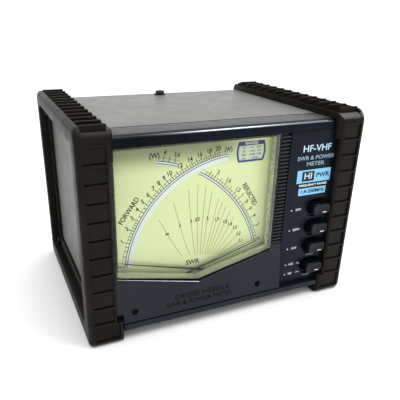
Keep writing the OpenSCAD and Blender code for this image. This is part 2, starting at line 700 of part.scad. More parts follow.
module coupler_box() color("silver") placed() difference() {
    block([-coupler_x, coupler_x], coupler_y, coupler_z);
    block([-coupler_x + 1, coupler_x - 1], [coupler_y[0] - 1, coupler_y[1] - 1],
        [coupler_z[0] + 1, coupler_z[1] - 1]);
    both_sides() rod_y(socket_dx, socket_z, coupler_y[1] - 2, coupler_y[1] + 1, 6.2);
    both_sides() for (x = [-1, 1], z = [-1, 1]) rod_y(socket_dx + x * socket_screw_d,
        socket_z + z * socket_screw_d, coupler_y[1] - 2, coupler_y[1] + 1, 1.6);
}

module coupler_lid() color("silver") placed()
    block([-coupler_x, coupler_x], [coupler_y[0] - 1, coupler_y[0]], coupler_z);

module coupler_board() color("darkgreen") placed()
    block([-coupler_x + 1.5, coupler_x - 1.5], [coupler_y[0] + 0.5, coupler_y[1] - 3], [38.5, 40.1]);

module toroid_cores() color("darkslategray") placed() both_sides() difference() {
    rod_x(line_y, socket_z, 8, 14, 9);
    rod_x(line_y, socket_z, 7, 15, 3.5);
}

module through_line() color("peru") placed() {
    rod_x(line_y, socket_z, -socket_dx, socket_dx, 2);
    both_sides() translate([socket_dx, line_y, socket_z]) cube(5.2, center = true);
}

// ---- rear sockets and power inlet ----

module socket_shells() color("silver") placed() both_sides() difference() {
    union() {
        along_y(panel_y + panel_t, panel_y + panel_t + 2.2) translate([socket_dx, socket_z])
            centred_round_rect(25.4, 25.4, 2);
        rod_y(socket_dx, socket_z, panel_y - 3, overall_d, socket_r);
    }
    difference() {
        rod_y(socket_dx, socket_z, panel_y - 4, panel_y + panel_t, socket_r + 1);
        rod_y(socket_dx, socket_z, panel_y - 5, panel_y + panel_t + 1, 6);
    }
    rod_y(socket_dx, socket_z, panel_y - 4, overall_d, 4.2);
    rod_y(socket_dx, socket_z, panel_y + 5, overall_d + 1, 6.3);
    for (x = [-1, 1], z = [-1, 1]) rod_y(socket_dx + x * socket_screw_d, socket_z + z * socket_screw_d,
        panel_y, panel_y + panel_t + 4, 1.6);
}

module socket_insulators() color("white") placed() both_sides() difference() {
    union() {
        rod_y(socket_dx, socket_z, panel_y - 4, panel_y + 6, 4.2 - running);
        rod_y(socket_dx, socket_z, panel_y + 5, panel_y + 7.4, 6.3 - running);
    }
    rod_y(socket_dx, socket_z, panel_y - 5, panel_y + 8, 2.9);
}

module socket_contacts() color("gold") placed() both_sides() difference() {
    union() {
        rod_y(socket_dx, socket_z, panel_y - 4, overall_d - 2, 2.9);
        rod_y(socket_dx, socket_z, line_y + 2.6, panel_y - 4 + eps, 2.2);
    }
    rod_y(socket_dx, socket_z, overall_d - 12, overall_d, 2);
}

module socket_screws() color("silver") placed() both_sides() for (x = [-1, 1], z = [-1, 1])
    translate([0, panel_y + panel_t + 2.2, 0])
        pan_screw_y(socket_dx + x * socket_screw_d, socket_z + z * socket_screw_d, 0, 7.5);

module dc_jack() color([0.1, 0.1, 0.1]) placed() {
    difference() {
        union() {
            rod_y(jack_x, jack_z, panel_y + panel_t, panel_y + panel_t + 1.5, 5.5);
            rod_y(jack_x, jack_z, 116, panel_y + panel_t + eps, 4.5);
            rod_y(jack_x, jack_z, panel_y - 2.5, panel_y, 5.4);
        }
        rod_y(jack_x, jack_z, 121, panel_y + panel_t + 3, 2.8);
    }
    rod_y(jack_x, jack_z, 121 - eps, panel_y + panel_t, 1.05);
}

left_frame();
right_frame();
frame_screws();
top_cover();
cover_screw();
chassis();
chassis_screws();
rear_panel();
bezel();
bezel_screws();
ribbed_trim();
control_panel();
window();
dial_plate();
dial_screws();
dial_lamps();
meter_base();
yokes();
core_magnets();
core_holders();
front_bridges();
jewel_screws();
hairsprings();
forward_needle();
forward_coil();
reflected_needle();
reflected_coil();
forward_zero_screw();
forward_zero_lever();
reflected_zero_screw();
reflected_zero_lever();
range_cap_low();
range_cap_mid();
range_cap_high();
mode_cap();
range_plunger_low();
range_plunger_mid();
range_plunger_high();
mode_plunger();
switch_bodies();
switch_bracket();
inner_screws();
switch_board();
ribbon_cable();
wiring();
main_board();
board_standoffs();
trimmer_pots();
electrolytics();
ic_packages();
coupler_box();
coupler_lid();
coupler_board();
toroid_cores();
through_line();
socket_shells();
socket_insulators();
socket_contacts();
socket_screws();
dc_jack();
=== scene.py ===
"""Looks of a bench-top cross-needle SWR and power meter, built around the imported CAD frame.

Lengths in the modelling code are millimetres: x from the middle, y from the side frames' front
face, z from a datum 6 under the top cover's lower edge. at() turns them into the frame's metres."""
import json
import math

import bmesh
import bpy
from mathutils import Matrix, Vector


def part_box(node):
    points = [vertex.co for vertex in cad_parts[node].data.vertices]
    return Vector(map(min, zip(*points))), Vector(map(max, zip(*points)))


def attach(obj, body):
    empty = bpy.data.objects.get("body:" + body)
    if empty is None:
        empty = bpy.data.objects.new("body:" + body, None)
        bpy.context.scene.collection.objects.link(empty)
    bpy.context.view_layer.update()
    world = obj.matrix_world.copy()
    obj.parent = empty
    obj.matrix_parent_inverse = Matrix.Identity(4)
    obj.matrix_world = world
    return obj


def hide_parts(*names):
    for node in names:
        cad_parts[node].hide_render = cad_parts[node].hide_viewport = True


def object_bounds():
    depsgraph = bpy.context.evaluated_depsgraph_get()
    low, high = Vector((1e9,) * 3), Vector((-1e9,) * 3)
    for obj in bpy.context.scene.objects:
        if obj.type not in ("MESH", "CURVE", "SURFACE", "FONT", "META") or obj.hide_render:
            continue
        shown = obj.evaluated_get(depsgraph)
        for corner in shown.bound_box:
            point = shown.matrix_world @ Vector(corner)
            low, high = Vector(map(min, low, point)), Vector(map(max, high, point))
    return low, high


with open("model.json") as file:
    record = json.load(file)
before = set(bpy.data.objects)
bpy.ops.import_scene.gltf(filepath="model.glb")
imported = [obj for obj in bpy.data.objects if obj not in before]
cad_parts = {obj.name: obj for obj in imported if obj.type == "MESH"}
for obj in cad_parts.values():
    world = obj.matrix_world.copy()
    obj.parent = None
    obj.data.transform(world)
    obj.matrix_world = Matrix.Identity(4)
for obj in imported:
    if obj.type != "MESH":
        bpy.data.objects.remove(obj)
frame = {"nodes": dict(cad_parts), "record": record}
CAD_BOX = [list(corner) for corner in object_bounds()]

MM = 0.001
FRONT = CAD_BOX[0][1]
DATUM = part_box("top_cover")[0].z - 6 * MM
NODES = frame["nodes"]


def at(x, y, z):
    return Vector((x * MM, FRONT + y * MM, DATUM + z * MM))


def node_mm(node):
    """A CAD node's lowest and highest corners in the modelling frame."""
    return [Vector((c.x, c.y - FRONT, c.z - DATUM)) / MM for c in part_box(node)]


# ---------------------------------------------------------------- materials

def new_material(name):
    mat = bpy.data.materials.new(name)
    mat.use_nodes = True
    tree = mat.node_tree
    shader = next(n for n in tree.nodes if n.type == "BSDF_PRINCIPLED")
    return mat, tree, shader


def noise(tree, coords, scale, detail=3.0, stretch=None):
    """Blotches of about 1/scale metres; stretch scales the three axes."""
    if stretch:
        mapping = tree.nodes.new("ShaderNodeMapping")
        mapping.inputs["Scale"].default_value = stretch
        tree.links.new(coords, mapping.inputs["Vector"])
        coords = mapping.outputs["Vector"]
    node = tree.nodes.new("ShaderNodeTexNoise")
    node.inputs["Scale"].default_value = scale
    node.inputs["Detail"].default_value = detail
    tree.links.new(coords, node.inputs["Vector"])
    return node.outputs["Fac"]


def ramp(tree, factor, low, high):
    """Turns a 0.3-0.7 noise into a spread from low to high."""
    node = tree.nodes.new("ShaderNodeMapRange")
    node.inputs["From Min"].default_value = 0.3
    node.inputs["From Max"].default_value = 0.7
    node.inputs["To Min"].default_value = low
    node.inputs["To Max"].default_value = high
    tree.links.new(factor, node.inputs["Value"])
    return node.outputs["Result"]


def fade(tree, coords, spans, low):
    """Falls smoothly from 1 to low where every span (direction, from, to in metres) is passed."""
    share = None
    for direction, start, end in spans:
        dot = tree.nodes.new("ShaderNodeVectorMath")
        dot.operation = "DOT_PRODUCT"
        dot.inputs[1].default_value = direction
        tree.links.new(coords, dot.inputs[0])
        step = tree.nodes.new("ShaderNodeMapRange")
        step.interpolation_type = "SMOOTHSTEP"
        step.inputs["From Min"].default_value, step.inputs["From Max"].default_value = start, end
        tree.links.new(dot.outputs["Value"], step.inputs["Value"])
        if share is not None:
            both = tree.nodes.new("ShaderNodeMath")
            both.operation = "MULTIPLY"
            tree.links.new(share, both.inputs[0])
            tree.links.new(step.outputs["Result"], both.inputs[1])
            share = both.outputs["Value"]
        else:
            share = step.outputs["Result"]
    level = tree.nodes.new("ShaderNodeMapRange")
    level.inputs["To Min"].default_value, level.inputs["To Max"].default_value = 1.0, low
    tree.links.new(share, level.inputs["Value"])
    return level.outputs["Result"]


def surface(name, colour, rough=0.5, metal=0.0, spread=0.10, patch=60, grain=2200, bump=0.15,
            depth=0.0001, specular=0.5, ior=1.5, stretch=None, painted_fade=None):
    """A procedural finish: patchy colour, uneven gloss and a fine grain in the relief. The last argument,
    (spans, low), is painted shade, or a painted highlight fading out, that darkens the colour across the
    part."""
    mat, tree, shader = new_material(name)
    coords = tree.nodes.new("ShaderNodeTexCoord").outputs["Object"]
    tint = tree.nodes.new("ShaderNodeMix")
    tint.data_type = "RGBA"
    dark = [c * (1 - spread) for c in colour]
    light = [min(1.0, c * (1 + spread)) for c in colour]
    tint.inputs["A"].default_value = (*dark, 1)
    tint.inputs["B"].default_value = (*light, 1)
    tree.links.new(ramp(tree, noise(tree, coords, patch, 4.0, stretch), 0, 1), tint.inputs["Factor"])
    shade = tint.outputs["Result"]
    if painted_fade:
        scale = tree.nodes.new("ShaderNodeVectorMath")
        scale.operation = "SCALE"
        tree.links.new(shade, scale.inputs[0])
        tree.links.new(fade(tree, coords, *painted_fade), scale.inputs["Scale"])
        shade = scale.outputs["Vector"]
    tree.links.new(shade, shader.inputs["Base Color"])
    tree.links.new(ramp(tree, noise(tree, coords, patch * 3, 3.0, stretch), rough - 0.05, rough + 0.05),
                   shader.inputs["Roughness"])
    relief = tree.nodes.new("ShaderNodeBump")
    relief.inputs["Strength"].default_value = bump
    relief.inputs["Distance"].default_value = depth
    tree.links.new(noise(tree, coords, grain, 2.0, stretch), relief.inputs["Height"])
    tree.links.new(relief.outputs["Normal"], shader.inputs["Normal"])
    shader.inputs["Metallic"].default_value = metal
    shader.inputs["Specular IOR Level"].default_value = specular
    shader.inputs["IOR"].default_value = ior
    return mat


def clear_plastic(name, tint, gloss, rough, frost=0.0):
    """Thin clear moulding with a gloss that grows toward its edges; frost is the least share of gloss."""
    mat, tree, shader = new_material(name)
    coords = tree.nodes.new("ShaderNodeTexCoord").outputs["Object"]
    shader.inputs["Base Color"].default_value = (*tint, 1)
    shader.inputs["Metallic"].default_value = 1.0
    tree.links.new(ramp(tree, noise(tree, coords, 90), rough, rough + 0.06), shader.inputs["Roughness"])
    through = tree.nodes.new("ShaderNodeBsdfTransparent")
    through.inputs["Color"].default_value = (0.97, 0.985, 0.975, 1)
    facing = tree.nodes.new("ShaderNodeFresnel")
    facing.inputs["IOR"].default_value = gloss
    share = tree.nodes.new("ShaderNodeMapRange")
    share.inputs["To Min"].default_value = frost
    share.inputs["To Max"].default_value = 1.0
    tree.links.new(facing.outputs["Fac"], share.inputs["Value"])
    mix = tree.nodes.new("ShaderNodeMixShader")
    tree.links.new(share.outputs["Result"], mix.inputs["Fac"])
    tree.links.new(through.outputs["BSDF"], mix.inputs[1])
    tree.links.new(shader.outputs["BSDF"], mix.inputs[2])
    out = next(n for n in tree.nodes if n.type == "OUTPUT_MATERIAL")
    tree.links.new(mix.outputs["Shader"], out.inputs["Surface"])
    return mat


FINISH = {
    "frame_plastic": surface("frame_plastic", (0.0075, 0.0058, 0.0042), 0.36, spread=0.22, patch=45,
                             grain=1500, bump=0.30, depth=0.0002, ior=1.18),
    "black_steel": surface("black_steel", (0.008, 0.008, 0.009), 0.35, grain=1800, specular=0.25),
    "case_paint": surface("case_paint", (0.128, 0.126, 0.119), 0.42, spread=0.06, patch=25,
                          grain=2600, bump=0.25, specular=0.35),
    "rear_paint": surface("rear_paint", (0.20, 0.20, 0.19), 0.45, spread=0.05, grain=2600, bump=0.25),
    "chassis_metal": surface("chassis_metal", (0.60, 0.60, 0.60), 0.35, metal=1.0, spread=0.06,
                             stretch=(1, 1, 8), patch=40),
    "zinc_steel": surface("zinc_steel", (0.62, 0.62, 0.60), 0.3, metal=1.0, spread=0.08),
    "bezel_plastic": surface("bezel_plastic", (0.0060, 0.0085, 0.0145), 0.28, spread=0.12, patch=40,
                             grain=2600, bump=0.12, specular=0.20),
    "trim_plastic": surface("trim_plastic", (0.010, 0.012, 0.016), 0.38, spread=0.10, specular=0.25),
    "panel_plastic": surface("panel_plastic", (0.0035, 0.006, 0.013), 0.36, spread=0.12, grain=2600,
                             specular=0.11),
    # The dial's colour darkens toward its top and left: painted shade for the shadow the bezel's brow casts
    # into the window
    "dial_print": surface("dial_print", (0.82, 0.87, 0.50), 0.62, spread=0.03, patch=22, grain=900,
                          bump=0.04, specular=0.3,
                          painted_fade=([((0, 0, 1), 0.097, 0.112), ((-1, 0, 0), -0.028, 0.008)], 0.36)),
    "lamp": surface("lamp", (0.92, 0.92, 0.85), 0.25, spread=0.02),
    "ivory_plastic": surface("ivory_plastic", (0.78, 0.76, 0.68), 0.45, spread=0.04),
    "soft_iron": surface("soft_iron", (0.12, 0.12, 0.12), 0.45, metal=0.8),
    "magnet": surface("magnet", (0.10, 0.10, 0.11), 0.4, metal=0.6),
    "brass": surface("brass", (0.72, 0.55, 0.25), 0.3, metal=1.0),
    "gold_brass": surface("gold_brass", (0.85, 0.65, 0.28), 0.22, metal=1.0, spread=0.05),
    "copper": surface("copper", (0.72, 0.40, 0.25), 0.3, metal=1.0),
    "coil_wire": surface("coil_wire", (0.50, 0.22, 0.10), 0.35, metal=0.6, grain=4000, bump=0.6),
    "needle_metal": surface("needle_metal", (0.012, 0.012, 0.014), 0.5, spread=0.1),
    "black_plastic": surface("black_plastic", (0.003, 0.003, 0.003), 0.4, ior=1.15),
    "cap_plastic": surface("cap_plastic", (0.003, 0.004, 0.008), 0.24, spread=0.12, ior=1.25),
    "board_green": surface("board_green", (0.02, 0.16, 0.06), 0.35, patch=150, spread=0.2),
    "cable_grey": surface("cable_grey", (0.45, 0.45, 0.45), 0.5, stretch=(6, 1, 1)),
    "wire_red": surface("wire_red", (0.45, 0.04, 0.03), 0.4),
    "trimmer_blue": surface("trimmer_blue", (0.04, 0.16, 0.55), 0.3),
    "tinplate": surface("tinplate", (0.66, 0.66, 0.64), 0.22, metal=1.0, spread=0.1, patch=120),
    "nickel": surface("nickel", (0.75, 0.74, 0.70), 0.18, metal=1.0, spread=0.05),
    "white_plastic": surface("white_plastic", (0.9, 0.9, 0.88), 0.35, spread=0.03),
}
FINISH["clear_plastic"] = clear_plastic("clear_plastic", (0.9, 0.95, 0.92), 1.22, 0.05)
# Finishes that only some faces of a piece have; most of them are painted light or shade
# Painted shade: a darker copy of the case paint for the cover's side faces
SIDE_PAINTED_SHADE = surface("side_painted_shade", (0.085, 0.085, 0.080), 0.45, spread=0.06, patch=25, grain=2600,
                     bump=0.25, specular=0.25)
# Painted reflection: grey on the bezel's glossy flat top, darker toward the left as painted shade
BROW_PAINTED_REFLECTION = surface("brow_painted_reflection", (0.046, 0.048, 0.050), 0.35, spread=0.10, grain=2600, specular=0.22,
                    painted_fade=([((-1, 0, 0), 0.0, 0.07)], 0.7))
# Painted shade: a darker, duller copy of the bezel plastic, darker still toward the left
BROW_PAINTED_SHADE = surface("brow_painted_shade", (0.0035, 0.0060, 0.0115), 0.35, spread=0.12, patch=40, ior=1.15,
                    painted_fade=([((-1, 0, 0), 0.0, 0.06)], 0.3))
# Painted highlight: a bright metal line on the bezel's rounded top edge, fading out toward the left
EDGE_PAINTED_HIGHLIGHT = surface("edge_painted_highlight", (0.25, 0.27, 0.32), 0.2, metal=1.0, spread=0.1,
                     painted_fade=([((-1, 0, 0), 0.0, 0.06)], 0.08))
# Painted highlight: a lighter, glossier copy of the frame plastic for the right frame's rounded step
NOSE_PAINTED_HIGHLIGHT = surface("nose_painted_highlight", (0.020, 0.018, 0.014), 0.25, spread=0.25, patch=60, specular=0.9)
# Painted shade: a less glossy copy of the frame plastic for the left frame's outer faces
FLANK_PAINTED_SHADE = surface("flank_painted_shade", (0.0075, 0.0058, 0.0042), 0.40, spread=0.22, patch=45,
                grain=1500, bump=0.30, depth=0.0002, ior=1.18, specular=0.25)
# Painted highlight: a metal line on the bevel along the left half of the window's V-shaped lower edge
CHIN_PAINTED_HIGHLIGHT = surface("chin_painted_highlight", (0.16, 0.18, 0.22), 0.25, metal=1.0, spread=0.1)
CLEAR_EDGE = clear_plastic("clear_edge", (0.95, 0.97, 0.84), 1.35, 0.34, frost=0.60)
FROSTED = surface("frosted_wall", (0.56, 0.58, 0.50), 0.35, spread=0.5, patch=700, grain=900, bump=0.2)
INK = {
    "black": surface("ink_black", (0.004, 0.004, 0.006), 0.6, spread=0.1, specular=0.3),
    "blue": surface("ink_blue", (0.040, 0.050, 0.22), 0.6, spread=0.1, specular=0.3),
    "white": surface("ink_white", (0.86, 0.87, 0.84), 0.6, spread=0.03, specular=0.3),
    "salmon": surface("ink_salmon", (0.50, 0.17, 0.07), 0.6, spread=0.06, specular=0.3),
    "cyan": surface("ink_cyan", (0.20, 0.50, 0.74), 0.5, spread=0.04, specular=0.3),
    "pale": surface("ink_pale", (0.46, 0.68, 0.80), 0.55, spread=0.04, specular=0.3),
    "steel": surface("ink_steel", (0.24, 0.38, 0.50), 0.55, spread=0.05, specular=0.3),
    "grey": surface("ink_grey", (0.05, 0.06, 0.14), 0.6, spread=0.05, specular=0.3),
    "cell": surface("ink_cell", (0.62, 0.66, 0.62), 0.6, spread=0.05, specular=0.3),
    # Painted shade: the moulded words on the chin, darker than the bezel plastic they stand out of
    "navy": surface("raised_words_painted_shade", (0.0015, 0.002, 0.003), 0.5, spread=0.1, specular=0.04),
}


# ---------------------------------------------------------------- mesh helpers

def piece(bm, name, body, mats, replaced=(), smooth=35):
    """Makes the shown piece from a mesh drawn in millimetres."""
    for v in bm.verts:
        v.co = at(*v.co)
    mesh = bpy.data.meshes.new(name)
    bm.normal_update()
    for f in bm.faces:
        f.smooth = True
    for e in bm.edges:
        e.smooth = len(e.link_faces) == 2 and e.calc_face_angle(0) < math.radians(smooth)
    bm.to_mesh(mesh)
    bm.free()
    obj = bpy.data.objects.new(name, mesh)
    bpy.context.scene.collection.objects.link(obj)
    for mat in mats:
        mesh.materials.append(mat)
    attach(obj, body)
    if replaced:
        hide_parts(*replaced)
    return obj


def loft(bm, rings):
    """Skins rings of equal count, each a closed loop of points, and closes both ends."""
    loops = [[bm.verts.new(p) for p in ring] for ring in rings]
    for a, b in zip(loops, loops[1:]):
        for i in range(len(a)):
            j = (i + 1) % len(a)
            bm.faces.new((a[i], a[j], b[j], b[i]))
    bm.faces.new(loops[0])
    bm.faces.new(loops[-1])
    bmesh.ops.recalc_face_normals(bm, faces=bm.faces[:])


def rounded(a0, a1, b0, b1, r, low_r=None, steps=8):
    """A round-cornered rectangle as a list of (a, b); its lower corners may be tighter."""
    q = r if low_r is None else low_r
    points = []
    for ca, cb, radius, start in ((a1 - r, b1 - r, r, 0), (a0 + r, b1 - r, r, 90),
                                  (a0 + q, b0 + q, q, 180), (a1 - q, b0 + q, q, 270)):
        for i in range(steps + 1):
            t = math.radians(start + 90 * i / steps)
            points.append((ca + radius * math.cos(t), cb + radius * math.sin(t)))
    return points


def box(bm, x, y, z):
    corners = [bm.verts.new((a, b, c)) for a in x for b in y for c in z]
    for f in ((0, 1, 3, 2), (4, 6, 7, 5), (0, 4, 5, 1), (2, 3, 7, 6), (0, 2, 6, 4), (1, 5, 7, 3)):
        bm.faces.new([corners[i] for i in f])
    bmesh.ops.recalc_face_normals(bm, faces=bm.faces[:])


def prism_x(bm, outline, x0, x1):
    loft(bm, [[(x, y, z) for y, z in outline] for x in (x0, x1)])


def combine(bm, other, operation):
    """Exact boolean of two meshes; both are used up."""
    objects = []
    for k, b in enumerate((bm, other)):
        mesh = bpy.data.meshes.new(f"tool{k}")
        b.to_mesh(mesh)
        b.free()
        o = bpy.data.objects.new(f"tool{k}", mesh)
        bpy.context.scene.collection.objects.link(o)
        objects.append(o)
    mod = objects[0].modifiers.new("cut", "BOOLEAN")
    mod.object, mod.operation, mod.solver = objects[1], operation, "EXACT"
    result = bmesh.new()
    result.from_mesh(objects[0].evaluated_get(bpy.context.evaluated_depsgraph_get()).to_mesh())
    for o in objects:
        mesh = o.data
        bpy.data.objects.remove(o)
        bpy.data.meshes.remove(mesh)
    bmesh.ops.remove_doubles(result, verts=result.verts[:], dist=0.002)
    bmesh.ops.dissolve_degenerate(result, edges=result.edges[:], dist=0.002)
    return result


def soften(bm, width, segments=2, where=None, angle=50):
    """Rounds the sharp outward edges that where() accepts."""
    edges = [e for e in bm.edges if len(e.link_faces) == 2 and e.is_convex
             and e.calc_face_angle(0) > math.radians(angle)
             and (where is None or (where(e.verts[0].co) and where(e.verts[1].co)))]
    if edges:
        bmesh.ops.bevel(bm, geom=edges, offset=width, offset_type="OFFSET", segments=segments,
                        profile=0.5, affect="EDGES", clamp_overlap=False)


def from_cad(node):
    """A copy of a CAD node's mesh in millimetres, with its flat faces merged."""
    bm = bmesh.new()
    bm.from_mesh(NODES[node].data)
    for v in bm.verts:
        v.co = Vector((v.co.x, v.co.y - FRONT, v.co.z - DATUM)) / MM
    bmesh.ops.remove_doubles(bm, verts=bm.verts[:], dist=0.001)
    bmesh.ops.dissolve_limit(bm, angle_limit=math.radians(1), verts=bm.verts[:], edges=bm.edges[:])
    bmesh.ops.recalc_face_normals(bm, faces=bm.faces[:])
    for f in bm.faces:
        f.material_index = 0
    return bm


# ---------------------------------------------------------------- camera, floor, light

LOOK_AT = at(-0.7, 60, 45.8)
CAMERA_AZIMUTH, CAMERA_ELEVATION, CAMERA_ROLL = [math.radians(a) for a in (-24.53, 23.25, 1.25)]
CAMERA_DISTANCE = 0.3386
CAMERA_LENS, CAMERA_SENSOR = 42.15, 36
CAMERA_SHIFT = (0.0205, 0.04)


def make_camera():
    data = bpy.data.cameras.new("camera")
    data.lens, data.sensor_width = CAMERA_LENS, CAMERA_SENSOR
    data.shift_x, data.shift_y = CAMERA_SHIFT
    data.clip_start = 0.01
    camera = bpy.data.objects.new("camera", data)
    back = Vector((math.sin(CAMERA_AZIMUTH) * math.cos(CAMERA_ELEVATION),
                   -math.cos(CAMERA_AZIMUTH) * math.cos(CAMERA_ELEVATION), math.sin(CAMERA_ELEVATION)))
    right = (-back).cross(Vector((0, 0, 1))).normalized()
    up = right.cross(-back)
    r = right * math.cos(CAMERA_ROLL) + up * math.sin(CAMERA_ROLL)
    u = up * math.cos(CAMERA_ROLL) - right * math.sin(CAMERA_ROLL)
    turn = Matrix((r, u, back)).transposed().to_4x4()
    camera.matrix_world = Matrix.Translation(LOOK_AT + back * CAMERA_DISTANCE) @ turn
    bpy.context.scene.collection.objects.link(camera)
    bpy.context.scene.camera = camera


def area_light(name, place, aim, size, power):
    """A round soft light; place, aim and size in metres, power in watts."""
    data = bpy.data.lights.new(name, "AREA")
    data.shape, data.size, data.energy = "DISK", size, power
    light = bpy.data.objects.new(name, data)
    light.location = place
    light.rotation_euler = (Vector(aim) - Vector(place)).to_track_quat("-Z", "Y").to_euler()
    bpy.context.scene.collection.objects.link(light)


def make_stage():
    bm = bmesh.new()
    bmesh.ops.create_grid(bm, x_segments=8, y_segments=8, size=6.0)
    mesh = bpy.data.meshes.new("floor")
    bm.to_mesh(mesh)
    bm.free()
    floor = bpy.data.objects.new("floor", mesh)
    mesh.materials.append(surface("floor_paper", (0.96, 0.96, 0.96), 0.8, spread=0.01, patch=2,
                                  grain=400, bump=0.02, specular=0.1))
    bpy.context.scene.collection.objects.link(floor)
    world = bpy.data.worlds.new("studio")
    world.use_nodes = True
    sky = world.node_tree.nodes["Background"]
    sky.inputs["Color"].default_value = (1.0, 1.0, 1.0, 1)
    sky.inputs["Strength"].default_value = 1.04
    bpy.context.scene.world = world
    bpy.context.scene.view_settings.view_transform = "Standard"
    area_light("overhead", (0.1, 0.1, 1.1), (0, 0, 0.05), size=0.9, power=7)
    area_light("right_key", (0.50, -0.50, 0.97), (0.06, -0.06, 0.08), size=0.4, power=4)


# ---------------------------------------------------------------- side frames

# Inner faces of the post: at the foot's lug, below the brow and beside the brow
LUG_X, POST_X, BROW_X = 70.0, 73.5, 71.0
LUG_TOP, BROW_Z, FRAME_TOP = 13.2, 110.0, 128.0
FLANGE_X, CASE_X = 86.0, 84.1
FRAME_EDGE, MOUTH_EDGE = 3.0, 0.8                   # roundings outside and around the side opening
FRAME_CORNER, FOOT_CORNER = 8, 4
# Side opening, hole in its flange, and room inside for the case: y, z and corner radius
MOUTH = ((12, 128), (9, 119), 5)
FLANGE_HOLE = ((20, 120), (17, 111), 3)
CASE_ROOM = ((4.9, 132.6), (5.9, 122.1))
# Slot along the top that holds the ribs, and the rounded step at its front, as (y, z)
SLOT_X, SLOT_FLOOR, SLOT_END = 87.0, 125.9, 134.3
SLOT_STEP = [(0.7, 122.4), (1.0, 123.2), (1.5, 124.0), (2.2, 124.7), (3.1, 125.3), (4.1, 125.7),
             (5.3, SLOT_FLOOR)]
RIB_PITCH, RIB_COUNT, RIB_START = 10.1, 13, 5.5
RIB_NOSE = [(1.8, 2.75), (1.3, 2.94), (0.9, 3.04), (0.55, 3.02), (0.25, 2.85), (0.06, 2.5), (0.02, 2.0)]
GRIP_X, GRIP_PITCH, GRIP_COUNT, GRIP_TOP, GRIP_BAR = 87.5, 10.6, 11, 14.3, 1.7
GRIP_NOSE = [(0.45, -GRIP_BAR), (0.18, -1.58), (0.04, -1.35), (0.0, -1.05), (0.0, -0.65),
             (0.06, -0.35), (0.22, -0.12), (0.5, 0.0)]
GRIP_ROOT, GROOVE = 2.0, (0.8, 1.9)                 # depths behind the frame's front


def front_round(x, r, z):
    """What a quarter round takes off a post's inner front edge."""
    arc = [(x + r * (1 - math.sin(t)), r * (1 - math.cos(t))) for t in
           [math.radians(11.25 * i) for i in range(9)]]
    outline = [(x - 1, -1), (x + r, -1)] + arc + [(x - 1, r)]
    bm = bmesh.new()
    loft(bm, [[(a, b, c) for a, b in outline] for c in z])
    return bm


def rib(bm, y):
    """A tread that rises toward the front, with a rounded nose; the last one is cut short."""
    tread = min(RIB_PITCH, SLOT_END - y)
    profile = [(0.02, -1.2), (tread - 0.1, -1.2), (tread - 0.1, 0.3 + 0.29 * (RIB_PITCH - tread))]
    prism_x(bm, [(y + a, SLOT_FLOOR + b) for a, b in profile + RIB_NOSE], POST_X, SLOT_X + 0.1)


def grip(bm, z):
    """A level bar with a rounded front; z is its top."""
    profile = [(GRIP_ROOT, -GRIP_BAR)] + GRIP_NOSE + [(GRIP_ROOT, 0.0)]
    prism_x(bm, [(a, z + b) for a, b in profile], POST_X + 1, GRIP_X + 0.1)


def frame_shell(out, depth, foot):
    """The frame as one skin, from its inner face round the outside and in through its opening."""
    def ring(x, inset):
        return [(x, y, z) for y, z in rounded(inset, depth - inset, foot + inset, FRAME_TOP - inset,
                                              FRAME_CORNER - inset, FOOT_CORNER - inset)]

    def opening(x, y, z, r, grow):
        return [(x, b, c) for b, c in rounded(y[0] - grow, y[1] + grow, z[0] - grow, z[1] + grow, r + grow)]

    rings = [ring(LUG_X, 0.4), ring(LUG_X + 0.4, 0)]
    for i in range(7):
        t = math.radians(15 * i)
        rings.append(ring(out - FRAME_EDGE + FRAME_EDGE * math.sin(t), FRAME_EDGE * (1 - math.cos(t))))
    for i in range(4):
        t = math.radians(30 * i)
        rings.append(opening(out - MOUTH_EDGE * (1 - math.cos(t)), *MOUTH, MOUTH_EDGE * (1 - math.sin(t))))
    rings.append(opening(FLANGE_X, *MOUTH, 0))
    rings.append(opening(FLANGE_X, *FLANGE_HOLE, 0.4))
    rings.append(opening(FLANGE_X - 0.4, *FLANGE_HOLE, 0))
    rings.append(opening(CASE_X - 0.05, *FLANGE_HOLE, 0))
    bm = bmesh.new()
    loft(bm, rings)
    return bm


